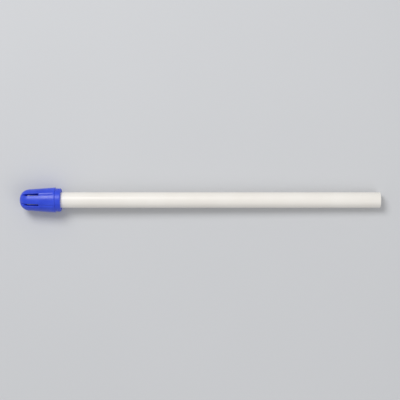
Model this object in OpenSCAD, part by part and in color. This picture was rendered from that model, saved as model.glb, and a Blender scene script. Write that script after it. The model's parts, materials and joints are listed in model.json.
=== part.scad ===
// Disposable saliva ejector: a soft tube with a shape-holding wire in its wall, and a slotted pull-off tip.
// The tube lies along X. The origin is the centre of its rear cut end, and the tip points along +X.
// The wire runs in the wall on the +Y side, a small angle above the Y axis. A tube that bends is drawn
// as short links, and each gap between two links turns about a line through the wire, because the wire
// is what neither stretches nor shortens.

/* [Overall] */
// Length of the whole ejector with its tip on
overall_length = 150; // [146:1:160]

/* [Tube] */
// Outside diameter of the tube
tube_od = 6.5; // [6.3:0.1:6.6]
// Bore of the tube
tube_bore = 4.5; // [4.3:0.1:4.5]
// Diameter of the wire in the wall
wire_d = 0.7; // [0.5:0.05:0.75]
// Angle from +Y up to the wire, round the tube, in degrees; the bend's plane tips by as much
wire_angle = 0.5; // [0.5:0.5:15]
// How far each end of the wire sits back from the tube's cut end
wire_setback = 0.2; // [0.1:0.1:1]
// Straight rear stretch that plugs into the suction valve
plug_length = 32; // [28:1:36]

/* [Tip] */
// Length of the tip
tip_length = 17.2; // [16:0.2:18]
// Largest diameter of the tip, just ahead of its collar
tip_d = 10.4; // [10:0.1:11]
// Diameter of the tip where the nose starts to round
nose_d = 9; // [8.6:0.1:9.4]
// Length of the rounded nose
nose_length = 4.8; // [4.4:0.1:5.2]
// Diameter of the rear collar
collar_d = 9.6; // [9.2:0.1:9.8]
// Length of the rear collar
collar_length = 2.3; // [2:0.1:2.6]
// Depth to which the tube pushes into the tip
socket_depth = 8.5; // [8:0.1:8.6]
// Diameter of the chamber ahead of the tube
chamber_d = 5.8; // [5:0.1:6]
// Number of long slots round the tip
slot_count = 6; // [5:1:8]
// Width of each slot
slot_width = 1; // [0.7:0.05:1.1]
// Distance from the axis to the floor of the groove in which each slot runs out over the nose
groove_floor = 2.9; // [2.8:0.1:3.4]

/* [Bending] */
// Length of the gentle bending stretch behind the hook
rear_zone_length = 44; // [40:1:48]
// Largest swing of one rear joint, either way, in degrees
rear_swing = 7.5; // [5:0.5:7.5]
// Largest straightening past straight of one hook joint, in degrees
hook_back = 5; // [3:0.5:6]
// Largest lift of one lifting joint, in degrees
lift_swing = 8; // [4:0.5:10]

/* [Hidden] */
$fn = 96;
eps = 0.01;
big = 20;

rear_joints = 8;
front_joints = 16;
joint_count = rear_joints + front_joints;
lift_every = 4;          // every fourth joint lifts, and the others swing sideways
joint_half_gap = 0.12;   // clearance each side of a joint, measured at the wire
plug_half_gap = 0.27;    // the same at joint 1, where the plug end's own wall has to read as separate
tip_fit = 0.03;          // radial clearance between the tube and the tip's socket
stop_gap = 0.03;         // between the tube's front end and the shoulder that stops it

tip_x = overall_length - tip_length;
tube_end_x = tip_x + socket_depth;
tip_approach = 2.5;      // straight tube left between the last joint and the tip
rear_zone_x = plug_length;
front_zone_x = rear_zone_x + rear_zone_length;
front_zone_length = tip_x - tip_approach - front_zone_x;
wire_y = (tube_od + tube_bore) / 4;   // from the axis to the wire, before the turn by wire_angle

function link_name(piece, i) = str(piece, "_link_", i < 10 ? "0" : "", i);

// Place of joint i along the tube, from 1 at the plug end to joint_count next to the tip
function joint_x(i) =
    i <= rear_joints
    ? rear_zone_x + rear_zone_length * (i - 0.5) / rear_joints
    : front_zone_x + front_zone_length * (i - rear_joints - 0.5) / front_joints;
function lifts(i) = i % lift_every == 0;
function link_start(i) = i == 0 ? 0 : joint_x(i);
function link_end(i) = i == joint_count ? tube_end_x : joint_x(i + 1);

function half_gap(i) = i == 1 ? plug_half_gap : joint_half_gap;

// Half the angle that the side of joint i away from the wire has to close by
function closing(i) = (lifts(i) ? lift_swing : i <= rear_joints ? rear_swing : hook_back) / 2;

module along_x(x, length, d) {
    translate([x, 0, 0]) rotate([0, 90, 0]) cylinder(h = length, d = d);
}

module wire_rod(x, length) {
    translate([0, wire_y, 0]) along_x(x, length, wire_d);
}

// Removes one side of joint i: side is 1 for the link ahead of the joint and -1 for the one behind it
module joint_cut(i, side) {
    gap = half_gap(i);
    flare = tan(closing(i));
    function at(outward, up) = [joint_x(i) + side * outward, up];
    if (lifts(i))
        rotate([90, 0, 0]) linear_extrude(height = big, center = true)
            polygon([at(-1, -big), at(gap, -big), at(gap, 0), at(gap + big * flare, big), at(-1, big)]);
    else
        linear_extrude(height = big, center = true)
            polygon([
                at(-1, -big), at(gap + (wire_y + big) * flare, -big),
                at(gap, wire_y), at(gap, big), at(-1, big)
            ]);
}

// Link 0 is the straight plug end, and link joint_count carries the tip
module tube_link(i) {
    color("ivory") rotate([wire_angle, 0, 0]) difference() {
        along_x(link_start(i), link_end(i) - link_start(i), tube_od);
        along_x(link_start(i) - 1, link_end(i) - link_start(i) + 2, tube_bore);
        wire_rod(link_start(i) - 1, link_end(i) - link_start(i) + 2);
        if (i > 0) joint_cut(i, 1);
        if (i < joint_count) joint_cut(i + 1, -1);
    }
}

module wire_link(i) {
    start = i == 0 ? wire_setback : joint_x(i) + half_gap(i);
    end = i == joint_count ? tube_end_x - wire_setback : joint_x(i + 1) - half_gap(i + 1);
    color("peru") rotate([wire_angle, 0, 0]) wire_rod(start, end - start);
}

// Radius of the tip's outside, u millimetres ahead of its rear edge
edge = 0.3;              // rounding of the tip's rear edge
step_edge = 0.15;        // chamfer where the body steps up from the collar
body_start = collar_length + step_edge;
nose_start = tip_length - nose_length;
nose_power = 2.3;        // 2 would make the nose an ellipse, and more makes it blunter
function nose_curve(t) = pow(max(0, 1 - pow(t, nose_power)), 1 / nose_power);
function tip_radius(u) =
    u < nose_start
    ? tip_d / 2 + (nose_d - tip_d) / 2 * (u - body_start) / (nose_start - body_start)
    : nose_d / 2 * nose_curve((u - nose_start) / nose_length);

nose_steps = 10;
nose_line = [
    for (k = [0:nose_steps]) let (a = 90 * k / nose_steps, u = nose_start + nose_length * sin(a))
        [tip_radius(u), u]
];
tip_outline = concat(
    [[0, 0], [collar_d / 2 - edge, 0]],
    [for (a = [30:30:90]) [collar_d / 2 - edge + edge * sin(a), edge - edge * cos(a)]],
    [[collar_d / 2, collar_length], [tip_d / 2 - step_edge, collar_length], [tip_d / 2, body_start]],
    nose_line
);

nose_wall = 1.8;         // thickness of the nose along the axis
dome_length = 1.5;       // rounded front end of the chamber
chamber_start = socket_depth + stop_gap;
chamber_end = tip_length - nose_wall;
chamber_round = chamber_end - dome_length;
chamber_line = [
    for (k = [0:6]) let (a = 15 * k)
        [chamber_d / 2 * cos(a), chamber_round + dome_length * sin(a)]
];
slot_start = 9;          // rear end of each slot, ahead of the tip's rear edge
through_end = chamber_end - dome_length / 2;   // where the slots stop opening into the chamber
through_floor = 1.9;     // well inside the chamber's wall, even where the chamber has narrowed
lead_in = 0.4;           // chamfer at the socket's mouth
socket_r = tube_od / 2 + tip_fit;

// Turns an outline of [radius, u] points about the tube's axis
module tip_turned(points) {
    translate([tip_x, 0, 0]) rotate([0, 90, 0]) rotate_extrude() polygon(points);
}

// A slot is cut straight in from outside: into the chamber at its rear, and to a shallower floor ahead
module tip_slot() {
    translate([tip_x + slot_start, -slot_width / 2, 0]) {
        translate([0, 0, groove_floor]) cube([tip_length, slot_width, tip_d]);
        translate([0, 0, through_floor]) cube([through_end - slot_start, slot_width, tip_d]);
    }
}

// A flute is a shallow line along the body from each slot back to the collar
flute_width = 0.5;
flute_depth = 0.18;
flute_start = body_start + 0.7;
flute_end = slot_start + 0.5;
module tip_flute() {
    slope = atan((tip_d - nose_d) / 2 / (nose_start - body_start));
    translate([tip_x + flute_start, -flute_width / 2, tip_radius(flute_start) - flute_depth])
        rotate([0, slope, 0]) cube([flute_end - flute_start, flute_width, tip_d]);
}

module tip() {
    color("royalblue") difference() {
        tip_turned(tip_outline);
        tip_turned([
            [0, -1], [socket_r + lead_in + 1, -1], [socket_r, lead_in],
            [socket_r, chamber_start], [0, chamber_start]
        ]);
        tip_turned(concat([[0, chamber_start - eps], [chamber_d / 2, chamber_start - eps]], chamber_line));
        for (k = [0:slot_count - 1]) rotate([(k + 0.5) * 360 / slot_count, 0, 0]) {
            tip_slot();
            tip_flute();
        }
    }
}

tube_link(0);  // tube_plug_end
wire_link(0);  // wire_plug_end
for (i = [1:joint_count]) {
    tube_link(i);
    wire_link(i);
}
tip();
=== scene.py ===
"""A disposable saliva ejector: a soft ivory tube with a wire in its wall, and a slotted blue tip.

The tube and the wire are one piece each in reality. Here each is a row of short pieces that meet
without a step, and each piece across a hinge spans the two CAD links that it bridges, attached to
neither.
"""

import json
import math

import bpy
import numpy as np
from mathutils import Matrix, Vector
from mathutils.geometry import tessellate_polygon

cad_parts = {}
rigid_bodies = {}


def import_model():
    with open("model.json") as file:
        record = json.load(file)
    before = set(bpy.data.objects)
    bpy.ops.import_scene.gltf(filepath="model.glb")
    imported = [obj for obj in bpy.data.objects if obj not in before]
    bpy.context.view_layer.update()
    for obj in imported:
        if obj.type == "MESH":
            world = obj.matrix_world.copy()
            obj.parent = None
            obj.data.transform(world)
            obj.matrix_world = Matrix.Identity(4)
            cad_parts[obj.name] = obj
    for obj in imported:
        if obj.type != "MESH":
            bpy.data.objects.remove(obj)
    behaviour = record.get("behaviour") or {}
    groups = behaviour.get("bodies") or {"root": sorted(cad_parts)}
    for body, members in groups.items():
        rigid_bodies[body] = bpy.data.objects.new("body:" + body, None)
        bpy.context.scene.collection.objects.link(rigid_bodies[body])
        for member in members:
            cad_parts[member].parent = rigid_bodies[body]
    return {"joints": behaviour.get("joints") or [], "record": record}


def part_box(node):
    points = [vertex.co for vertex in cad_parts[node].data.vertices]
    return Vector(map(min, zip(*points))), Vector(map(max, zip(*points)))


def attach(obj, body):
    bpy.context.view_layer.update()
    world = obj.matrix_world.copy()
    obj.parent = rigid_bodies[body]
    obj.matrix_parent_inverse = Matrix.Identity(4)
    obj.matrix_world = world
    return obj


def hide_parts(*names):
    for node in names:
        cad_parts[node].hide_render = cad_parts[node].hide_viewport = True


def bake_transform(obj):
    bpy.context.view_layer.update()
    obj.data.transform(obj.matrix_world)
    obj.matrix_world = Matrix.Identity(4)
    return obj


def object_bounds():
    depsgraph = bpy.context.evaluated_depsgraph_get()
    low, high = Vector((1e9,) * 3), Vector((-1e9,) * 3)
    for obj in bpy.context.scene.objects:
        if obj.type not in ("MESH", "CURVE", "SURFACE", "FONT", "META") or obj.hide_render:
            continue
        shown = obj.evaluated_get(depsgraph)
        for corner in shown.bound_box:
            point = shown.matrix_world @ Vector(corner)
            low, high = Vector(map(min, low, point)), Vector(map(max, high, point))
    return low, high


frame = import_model()
cad_low, cad_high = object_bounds()

MM = 0.001

# ---------------------------------------------------------------- sizes and places from the frame

hinges = [j for j in frame["joints"] if j["type"] == "hinge"]
plug_body = hinges[0]["parent"]
link_bodies = [j["child"] for j in hinges]

plug_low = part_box("tube_plug_end")[0]
wire_low, wire_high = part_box("wire_plug_end")
front_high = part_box(f"tube_{link_bodies[-1]}")[1]
wire_front_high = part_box(f"wire_{link_bodies[-1]}")[1]
tip_low, tip_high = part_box("tip")
mounts = {m["name"]: m for m in frame["record"]["mounts"]}

tube_radius = mounts["valve_end"]["dims"]["r_mm"] * MM
bore_radius = mounts["lumen"]["dims"]["r_mm"] * MM
wire_radius = (wire_high.z - wire_low.z) / 2
_, wire_y, wire_z = hinges[0]["pos_m"]
tube_start, tube_end = plug_low.x, front_high.x
wire_start, wire_end = wire_low.x, wire_front_high.x

# Seams between the pieces lie halfway between neighbouring hinges
hinge_x = [j["pos_m"][0] for j in hinges]
seams = [hinge_x[0] - (hinge_x[1] - hinge_x[0]) / 2]
seams += [(a + b) / 2 for a, b in zip(hinge_x, hinge_x[1:])]
seams += [hinge_x[-1] + (hinge_x[-1] - hinge_x[-2]) / 2]

# ---------------------------------------------------------------- materials


def new_material(name, **inputs):
    """A Principled material whose own sockets take the given uniform values."""
    material = bpy.data.materials.new(name)
    material.use_nodes = True
    shader = material.node_tree.nodes["Principled BSDF"]
    for socket, value in inputs.items():
        shader.inputs[socket.replace("_", " ")].default_value = value
    return material, material.node_tree, shader


def rest_place(tree, stretch=(1, 1, 1)):
    """Texture coordinates that stay on the surface when a piece bends, scaled along each axis."""
    place = tree.nodes.new("ShaderNodeAttribute")
    place.attribute_name = "rest_place"
    mapping = tree.nodes.new("ShaderNodeMapping")
    mapping.inputs["Scale"].default_value = stretch
    tree.links.new(place.outputs["Vector"], mapping.inputs["Vector"])
    return mapping.outputs["Vector"]


def noise(tree, place, scale, detail=3.0):
    """A noise field between 0 and 1, with about scale features to a metre."""
    node = tree.nodes.new("ShaderNodeTexNoise")
    node.inputs["Scale"].default_value = scale
    node.inputs["Detail"].default_value = detail
    tree.links.new(place, node.inputs["Vector"])
    return node.outputs["Fac"]


NOISE_LOW, NOISE_HIGH = 0.3, 0.7    # most of a noise field lies between these


def colour_between(tree, factor, low, high, shader):
    ramp = tree.nodes.new("ShaderNodeValToRGB")
    ends = ((NOISE_LOW, low), (NOISE_HIGH, high))
    for element, (position, colour) in zip(ramp.color_ramp.elements, ends):
        element.position = position
        element.color = (*colour, 1)
    tree.links.new(factor, ramp.inputs["Fac"])
    tree.links.new(ramp.outputs["Color"], shader.inputs["Base Color"])


def roughness_between(tree, factor, low, high, shader):
    spread = tree.nodes.new("ShaderNodeMapRange")
    spread.inputs["From Min"].default_value = NOISE_LOW
    spread.inputs["From Max"].default_value = NOISE_HIGH
    spread.inputs["To Min"].default_value = low
    spread.inputs["To Max"].default_value = high
    tree.links.new(factor, spread.inputs["Value"])
    tree.links.new(spread.outputs["Result"], shader.inputs["Roughness"])


def bump(tree, heights, shader):
    """Chains several height fields, given as (field, depth in metres), into the shader's normal."""
    normal = None
    for field, depth in heights:
        node = tree.nodes.new("ShaderNodeBump")
        node.inputs["Strength"].default_value = 1.0
        node.inputs["Distance"].default_value = depth
        tree.links.new(field, node.inputs["Height"])
        if normal is not None:
            tree.links.new(normal, node.inputs["Normal"])
        normal = node.outputs["Normal"]
    tree.links.new(normal, shader.inputs["Normal"])


def tube_material():
    """Soft satin ivory vinyl, with faint draw lines along it from the extruder's die."""
    material, tree, shader = new_material(
        "ivory_vinyl", IOR=1.50, Coat_Weight=0.12, Coat_Roughness=0.25)
    lines = noise(tree, rest_place(tree, stretch=(0.02, 1, 1)), scale=1600, detail=2)
    cloud = noise(tree, rest_place(tree), scale=90)
    grain = noise(tree, rest_place(tree), scale=2600, detail=2)
    colour_between(tree, cloud, (0.86, 0.825, 0.77), (0.89, 0.86, 0.81), shader)
    roughness_between(tree, cloud, 0.34, 0.44, shader)
    bump(tree, [(lines, 0.03 * MM), (grain, 0.015 * MM)], shader)
    return material


def tip_material():
    """Soft royal-blue vinyl, as it comes from a lightly textured mould."""
    material, tree, shader = new_material(
        "blue_vinyl", IOR=1.50, Specular_IOR_Level=0.42, Subsurface_Weight=0.1,
        Subsurface_Scale=0.001, Subsurface_Radius=(0.3, 0.4, 1.2))
    cloud = noise(tree, rest_place(tree), scale=240)
    grain = noise(tree, rest_place(tree), scale=4200, detail=2)
    colour_between(tree, cloud, (0.020, 0.056, 0.62), (0.034, 0.080, 0.72), shader)
    roughness_between(tree, cloud, 0.30, 0.40, shader)
    bump(tree, [(cloud, 0.05 * MM), (grain, 0.02 * MM)], shader)
    return material


def wire_material():
    """Annealed steel wire with a thin coppery plating, drawn lengthwise."""
    material, tree, shader = new_material("coppered_wire", Metallic=1.0)
    lines = noise(tree, rest_place(tree, stretch=(0.05, 1, 1)), scale=6000, detail=2)
    colour_between(tree, lines, (0.50, 0.27, 0.15), (0.66, 0.38, 0.23), shader)
    roughness_between(tree, lines, 0.28, 0.42, shader)
    bump(tree, [(lines, 0.01 * MM)], shader)
    return material


def floor_material():
    material, tree, shader = new_material("pale_floor", Specular_IOR_Level=0.2)
    cloud = noise(tree, rest_place(tree), scale=6)
    colour_between(tree, cloud, (0.60, 0.61, 0.63), (0.62, 0.63, 0.65), shader)
    roughness_between(tree, cloud, 0.75, 0.85, shader)
    return material


# ---------------------------------------------------------------- mesh helpers


def add_mesh(name, vertices, faces, material, flat_faces=()):
    """A smooth-shaded piece. The flat faces stay flat, with sharp edges all round them."""
    mesh = bpy.data.meshes.new(name)
    mesh.from_pydata([tuple(v) for v in vertices], [], [*faces, *flat_faces])
    mesh.polygons.foreach_set("use_smooth", [True] * len(faces) + [False] * len(flat_faces))
    sharp = {key for p in list(mesh.polygons)[len(faces):] for key in p.edge_keys}
    if sharp:
        mesh.edges.foreach_set("use_edge_sharp", [e.key in sharp for e in mesh.edges])
    places = mesh.attributes.new("rest_place", "FLOAT_VECTOR", "POINT")
    places.data.foreach_set("vector", np.array(vertices, np.float32).ravel())
    mesh.materials.append(material)
    mesh.update()
    piece = bpy.data.objects.new(name, mesh)
    bpy.context.scene.collection.objects.link(piece)
    return piece


def ring(x, radius, count, y=0.0, z=0.0):
    """Points round a circle that faces along X, with its centre at (x, y, z)."""
    turns = [2 * math.pi * k / count for k in range(count)]
    return [(x, y + radius * math.cos(turn), z + radius * math.sin(turn)) for turn in turns]


def skin(rings, outward=True):
    """Quads between neighbouring rings, each ring given as (first index, number of points)."""
    quads = []
    for (a, count), (b, _) in zip(rings, rings[1:]):
        for k in range(count):
            n = (k + 1) % count
            quad = (a + k, b + k, b + n, a + n)
            quads.append(quad[::-1] if outward else quad)
    return quads


ROUND = 64          # points round the tube
WIRE_ROUND = 20     # points round the wire
CUT_EDGE = 0.10 * MM    # rounding of the edges of a cut end
THIN = 0.02 * MM    # width of the ring beside each seam, so that neighbours shade alike


def cut_end(x, direction):
    """Stations that round a cut end's edges slightly, from the end face inwards."""
    angles = [math.radians(a) for a in (0, 30, 60, 90)]
    return [(x + direction * CUT_EDGE * (1 - math.cos(a)), CUT_EDGE * (1 - math.sin(a)))
            for a in angles]


def stations(start, end, count, start_is_cut=False, end_is_cut=False):
    """Rings along a piece as (x, inset). A seam has one thin row beside it, and a cut end is rounded."""
    first = cut_end(start, 1) if start_is_cut else [(start, 0.0), (start + THIN, 0.0)]
    last = cut_end(end, -1)[::-1] if end_is_cut else [(end - THIN, 0.0), (end, 0.0)]
    return first + [(start + (end - start) * k / count, 0.0) for k in range(1, count)] + last


def add_tube(name, places, material):
    """A closed length of tube wall with the wire's channel through it."""
    vertices, rings = [], {"outer": [], "bore": [], "channel": []}
    for x, inset in places:
        for part, points in (
            ("outer", ring(x, tube_radius - inset, ROUND)),
            ("bore", ring(x, bore_radius + inset, ROUND)),
            ("channel", ring(x, wire_radius, WIRE_ROUND, wire_y, wire_z)),
        ):
            rings[part].append((len(vertices), len(points)))
            vertices += points
    faces = skin(rings["outer"]) + skin(rings["bore"], False) + skin(rings["channel"], False)
    caps = []
    for row, facing in ((0, -1), (-1, 1)):
        loops = [rings[part][row] for part in ("outer", "bore", "channel")]
        index = [first + k for first, count in loops for k in range(count)]
        outlines = [[Vector(vertices[first + k]).yz.to_3d() for k in range(count)]
                    for first, count in loops]
        for triangle in tessellate_polygon(outlines):
            a, b, c = (index[k] for k in triangle)
            (ay, az), (by, bz), (cy, cz) = (vertices[k][1:] for k in (a, b, c))
            turns = (by - ay) * (cz - az) - (bz - az) * (cy - ay)
            caps.append((a, b, c) if turns * facing > 0 else (a, c, b))
    return add_mesh(name, vertices, faces, material, caps)


def add_wire(name, places, material):
    """A closed length of wire."""
    vertices, rings = [], []
    for x, inset in places:
        rings.append((len(vertices), WIRE_ROUND))
        vertices += ring(x, wire_radius - inset, WIRE_ROUND, wire_y, wire_z)
    rear = tuple(range(WIRE_ROUND))[::-1]
    front = tuple(range(len(vertices) - WIRE_ROUND, len(vertices)))
    return add_mesh(name, vertices, skin(rings), material, [rear, front])


# ---------------------------------------------------------------- the tube and its wire

BEND_ROWS = 10     # rows along each bending piece
END_ROWS = 4                            # rows along each of the two stiff ends


def add_lengths(kind, add, start, end, material):
    """The whole tube or wire: a plug end, a piece across each hinge, and a front end."""
    rear = add(f"{kind}_plug", stations(start, seams[0], END_ROWS, start_is_cut=True), material)
    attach(rear, plug_body)
    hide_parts(f"{kind}_plug_end")
    for i, link in enumerate(link_bodies):
        low, high = seams[i], seams[i + 1]
        piece = add(f"{kind}_bend_{i + 1:02d}", stations(low, high, BEND_ROWS), material)
        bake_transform(piece)
        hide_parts(f"{kind}_{link}")
    front = add(f"{kind}_front", stations(seams[-1], end, END_ROWS, end_is_cut=True), material)
    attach(front, link_bodies[-1])


add_lengths("tube", add_tube, tube_start, tube_end, tube_material())
add_lengths("wire", add_wire, wire_start, wire_end, wire_material())

# ---------------------------------------------------------------- the tip
# All sizes in this part are millimetres, and u runs from the tip's rear edge to its nose.
# The sizes that the frame doesn't hold repeat those of the CAD's tip.

TIP_LENGTH = (tip_high.x - tip_low.x) / MM
TIP_RADIUS = tip_high.z / MM
COLLAR_RADIUS = 4.8
COLLAR_LENGTH = 2.3
BODY_START = 2.45
NOSE_RADIUS = 4.5
NOSE_LENGTH = 4.8
NOSE_POWER = 2.3        # 2 would make the nose an ellipse, and more makes it blunter
NOSE_STEPS = 40
TUBE_CLEARANCE = 0.03   # between the tube and its socket, round it and ahead of it
SOCKET_RADIUS = tube_radius / MM + TUBE_CLEARANCE
SOCKET_DEPTH = (tube_end - tip_low.x) / MM + TUBE_CLEARANCE
CHAMBER_RADIUS = 2.9
CHAMBER_ROUND = 13.9
CHAMBER_END = 15.4
SLOTS = 6
SLOT_WIDTH = 1.0
SLOT_START = 9.0
THROUGH_END = 14.65
THROUGH_FLOOR = 1.9
GROOVE_FLOOR = 2.9
FLUTE_RADIUS = 0.55
FLUTE_DEPTH = 0.16
FLUTE_START = BODY_START + 0.5
FLUTE_END = SLOT_START + 0.3

LEAD_IN = 0.4           # chamfer at the socket's mouth
REAR_EDGE = 0.35        # roundings of the tip's edges, from its rear edge forwards
COLLAR_EDGE = 0.12
STEP_EDGE = 0.3
SHOULDER_EDGE = 0.12
SLOT_EDGE = 0.22
SLOT_CORNER = 0.1
FLUTE_EDGE = 0.15

NOSE_START = TIP_LENGTH - NOSE_LENGTH
TAPER = (NOSE_RADIUS - TIP_RADIUS) / (NOSE_START - BODY_START)


def arc(centre, radii, start, end, steps):
    """Points (u, r) on an elliptic arc, with angles in degrees from the +u direction."""
    angles = [math.radians(start + (end - start) * k / steps) for k in range(steps + 1)]
    return [(centre[0] + radii[0] * math.cos(a), centre[1] + radii[1] * math.sin(a)) for a in angles]


def rounding(u, r, radius, start, end, steps=8):
    """A rounded edge of the tip: an arc of a circle with its centre at (u, r)."""
    return arc((u, r), (radius, radius), start, end, steps)


def tip_section():
    """The closed outline of a cut through the tip's axis, as (u, r) points on both sides of it."""
    nose = []
    for k in range(NOSE_STEPS + 1):
        t = math.sin(math.radians(90 * k / NOSE_STEPS))
        nose.append((NOSE_START + NOSE_LENGTH * t,
                     NOSE_RADIUS * max(0.0, 1 - t ** NOSE_POWER) ** (1 / NOSE_POWER)))
    outside = rounding(REAR_EDGE, COLLAR_RADIUS - REAR_EDGE, REAR_EDGE, 180, 90)
    outside += rounding(COLLAR_LENGTH - COLLAR_EDGE, COLLAR_RADIUS - COLLAR_EDGE, COLLAR_EDGE, 90, 0)
    outside += rounding(COLLAR_LENGTH + STEP_EDGE, TIP_RADIUS - STEP_EDGE, STEP_EDGE, 180, 90)
    outside += nose
    inside = [(0.0, SOCKET_RADIUS + LEAD_IN), (LEAD_IN, SOCKET_RADIUS), (SOCKET_DEPTH, SOCKET_RADIUS)]
    inside += rounding(SOCKET_DEPTH + SHOULDER_EDGE, CHAMBER_RADIUS + SHOULDER_EDGE, SHOULDER_EDGE,
                       180, 270, steps=4)
    inside += arc((CHAMBER_ROUND, 0), (CHAMBER_END - CHAMBER_ROUND, CHAMBER_RADIUS), 90, 0, 16)
    half = inside[::-1] + outside
    return half[1:] + [(u, -r) for u, r in half[-2::-1]]


def distance_to(outline, u, r):
    """Signed distance from (u, r) to a closed outline, negative inside."""
    nearest = np.full(u.shape, np.inf)
    inside = np.zeros(u.shape, bool)
    for (u0, r0), (u1, r1) in zip(outline, outline[1:] + outline[:1]):
        du, dr = u1 - u0, r1 - r0
        if du == dr == 0:
            continue
        t = np.clip(((u - u0) * du + (r - r0) * dr) / (du * du + dr * dr), 0, 1)
        nearest = np.minimum(nearest, np.hypot(u - u0 - t * du, r - r0 - t * dr))
        crosses = (r0 > r) != (r1 > r)
        if dr:
            inside ^= crosses & (u < u0 + (r - r0) * du / dr)
    return np.where(inside, -nearest, nearest)


def smooth_max(a, b, width):
    """The larger of two fields, rounded over where they meet."""
    h = np.clip(0.5 + 0.5 * (a - b) / width, 0, 1)
    return b + (a - b) * h + width * h * (1 - h)


class Table:
    """A function of (u, r) sampled on a fine grid, read back by linear interpolation."""

    def __init__(self, function, u_range, r_range, step):
        self.low = np.array([u_range[0], r_range[0]])
        self.step = step
        u = np.arange(u_range[0], u_range[1] + step, step)
        r = np.arange(r_range[0], r_range[1] + step, step)
        self.values = function(*np.meshgrid(u, r, indexing="ij"))

    def __call__(self, u, r):
        i = (u - self.low[0]) / self.step
        j = (r - self.low[1]) / self.step
        i0 = np.clip(i.astype(int), 0, self.values.shape[0] - 2)
        j0 = np.clip(j.astype(int), 0, self.values.shape[1] - 2)
        part_i, part_j = i - i0, j - j0
        near = self.values[i0, j0] * (1 - part_j) + self.values[i0, j0 + 1] * part_j
        far = self.values[i0 + 1, j0] * (1 - part_j) + self.values[i0 + 1, j0 + 1] * part_j
        return near * (1 - part_i) + far * part_i


TABLE_STEP = 0.02
TABLE_MARGIN = 0.6      # how far the table reaches past the tip at each end
TABLE_RADIUS = 8.2      # out to the corners of the box in which the surface is sought

section = tip_section()
section_table = Table(lambda u, r: distance_to(section, u, r),
                      (-TABLE_MARGIN, TIP_LENGTH + TABLE_MARGIN), (0, TABLE_RADIUS), TABLE_STEP)


def tip_field(u, y, z):
    """Signed distance to the moulded tip, near enough to exact beside its surface."""
    r = np.hypot(y, z)
    pitch = 2 * math.pi / SLOTS
    angle = np.mod(np.arctan2(y, z), pitch) - pitch / 2
    side, out = r * np.sin(angle), r * np.cos(angle)
    field = section_table(u, r)

    groove = np.maximum(SLOT_START - u, GROOVE_FLOOR - out)
    through = np.maximum(np.maximum(SLOT_START - u, u - THROUGH_END), THROUGH_FLOOR - out)
    slot = smooth_max(np.abs(side) - SLOT_WIDTH / 2, np.minimum(groove, through), SLOT_CORNER)
    field = smooth_max(field, -slot, SLOT_EDGE)

    flute_centre = TIP_RADIUS + TAPER * (u - BODY_START) + FLUTE_RADIUS - FLUTE_DEPTH
    flute = np.hypot(side, out - flute_centre) - FLUTE_RADIUS
    flute = np.maximum(flute, np.maximum(FLUTE_START - u, u - FLUTE_END))
    return smooth_max(field, -flute, FLUTE_EDGE)


def surface_of(field, low, high, step):
    """A quad mesh of the surface where field is 0: one point per cell that it passes through."""
    axes = [np.arange(a, b + step, step) for a, b in zip(low, high)]
    values = field(*np.meshgrid(*axes, indexing="ij"))
    inside = values < 0
    cells = tuple(n - 1 for n in values.shape)
    # Each cell's point is the mean of the places where the surface crosses the cell's edges
    hits = np.zeros(cells)
    total = np.zeros((*cells, 3))
    crossings = []
    for axis in range(3):
        ahead = [slice(None)] * 3
        behind = [slice(None)] * 3
        ahead[axis], behind[axis] = slice(1, None), slice(0, -1)
        v0, v1 = values[tuple(behind)], values[tuple(ahead)]
        crosses = inside[tuple(behind)] != inside[tuple(ahead)]
        share = np.where(crosses, v0 / np.where(crosses, v0 - v1, 1), 0)
        crossings.append((crosses, inside[tuple(behind)]))
        others = [k for k in range(3) if k != axis]
        for da in (0, 1):
            for db in (0, 1):
                pick = [slice(0, cells[k]) for k in range(3)]
                pick[others[0]] = slice(da, da + cells[others[0]])
                pick[others[1]] = slice(db, db + cells[others[1]])
                hit = crosses[tuple(pick)]
                hits += hit
                total[..., axis] += np.where(hit, share[tuple(pick)], 0)
                total[..., others[0]] += hit * da
                total[..., others[1]] += hit * db
    active = hits > 0
    index = np.cumsum(active.ravel()).reshape(cells) - 1
    corner = np.argwhere(active)
    points = np.array(low) + step * (corner + total[active] / hits[active][:, None])
    # Each crossed edge gives one quad, between the points of the four cells that share the edge
    quads = []
    for axis, (crosses, starts_inside) in enumerate(crossings):
        a, b = (axis + 1) % 3, (axis + 2) % 3
        at = np.argwhere(crosses)
        flip = ~starts_inside[tuple(at.T)]
        around = []
        for da, db in ((0, 0), (-1, 0), (-1, -1), (0, -1)):
            cell = at.copy()
            cell[:, a] += da
            cell[:, b] += db
            around.append(index[tuple(cell.T)])
        quad = np.stack(around, axis=1)
        quad[flip] = quad[flip][:, ::-1]
        quads.append(quad)
    return points, np.concatenate(quads)


def settle(points, field):
    """Moves points onto the surface where field is 0."""
    rounds = 3
    reach = 0.01            # how far to each side the field's slope is measured
    least_slope = 0.25      # keeps a step short where two surfaces meet in an edge
    for _ in range(rounds):
        x, y, z = points.T
        value = field(x, y, z)
        slope = np.stack([
            field(x + reach, y, z) - field(x - reach, y, z),
            field(x, y + reach, z) - field(x, y - reach, z),
            field(x, y, z + reach) - field(x, y, z - reach),
        ], axis=1) / (2 * reach)
        points = points - slope * (value / np.maximum((slope ** 2).sum(1), least_slope))[:, None]
    return points


def add_tip():
    step = 0.12
    margin = 2.5 * step
    reach = TIP_RADIUS + margin
    points, quads = surface_of(tip_field, (-margin, -reach, -reach),
                               (TIP_LENGTH + margin, reach, reach), step)
    points = settle(points, tip_field)
    points = points * MM + np.array([tip_low.x, 0, 0])
    tip = add_mesh("tip_moulding", points, [tuple(q) for q in quads.tolist()], tip_material())
    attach(tip, "tip")
    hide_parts("tip")


add_tip()

# ---------------------------------------------------------------- floor, light and camera

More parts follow.
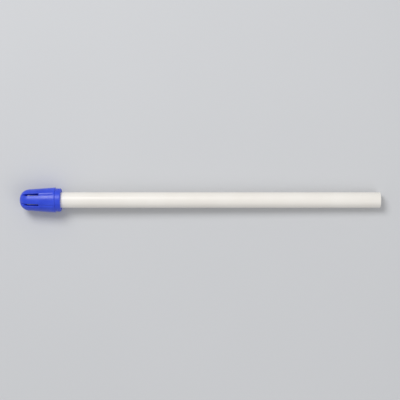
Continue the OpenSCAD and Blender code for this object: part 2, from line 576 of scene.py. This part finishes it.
FLOOR_SIZE = 3.0
FLOOR_GAP = 0.02 * MM
widest_x = tip_low.x + BODY_START * MM
floor_slope = math.atan((tip_high.z - tube_radius) / (widest_x - tube_start))


def add_floor():
    """A pale floor, tipped so that the tube's rear end and the wider tip both lie on it."""
    half = FLOOR_SIZE / 2
    corners = [(-half, -half, 0), (half, -half, 0), (half, half, 0), (-half, half, 0)]
    floor = add_mesh("floor", corners, [(0, 1, 2, 3)], floor_material())
    floor.location = (tube_start, 0, -tube_radius - FLOOR_GAP)
    floor.rotation_euler = (0, floor_slope, 0)


def add_area_light(name, place, target, size, power):
    light = bpy.data.lights.new(name, "AREA")
    light.shape = "DISK"
    light.size = size
    light.energy = power
    lamp = bpy.data.objects.new(name, light)
    lamp.location = place
    lamp.rotation_euler = (Vector(target) - Vector(place)).to_track_quat("-Z", "Y").to_euler()
    bpy.context.scene.collection.objects.link(lamp)


def add_world(brightness):
    world = bpy.data.worlds.new("studio")
    world.use_nodes = True
    background = world.node_tree.nodes["Background"]
    background.inputs["Color"].default_value = (1, 1, 1, 1)
    background.inputs["Strength"].default_value = brightness
    bpy.context.scene.world = world


def add_camera(target, width):
    """Straight above, with +X to the left of the picture, so that the tip is on the left."""
    camera = bpy.data.cameras.new("camera")
    camera.lens = 100
    camera.sensor_width = 36
    distance = width * camera.lens / camera.sensor_width
    camera.clip_start, camera.clip_end = 0.01, 10
    seat = bpy.data.objects.new("camera", camera)
    seat.location = Vector(target) + Vector((0, 0, distance))
    seat.rotation_euler = (0, 0, math.pi)
    bpy.context.scene.collection.objects.link(seat)
    bpy.context.scene.camera = seat


VIEW_SHARE = 0.9        # share of the picture's width that the ejector takes

middle = ((cad_low.x + cad_high.x) / 2, 0, 0)
length = cad_high.x - cad_low.x
add_floor()
add_world(brightness=0.45)
add_area_light("key", (middle[0] + 0.25, -0.35, 0.6), middle, size=0.35, power=3.0)
add_area_light("fill", (middle[0] - 0.35, 0.30, 0.5), middle, size=0.5, power=0.8)
add_camera(middle, width=length / VIEW_SHARE)
bpy.context.scene.view_settings.view_transform = "Standard"
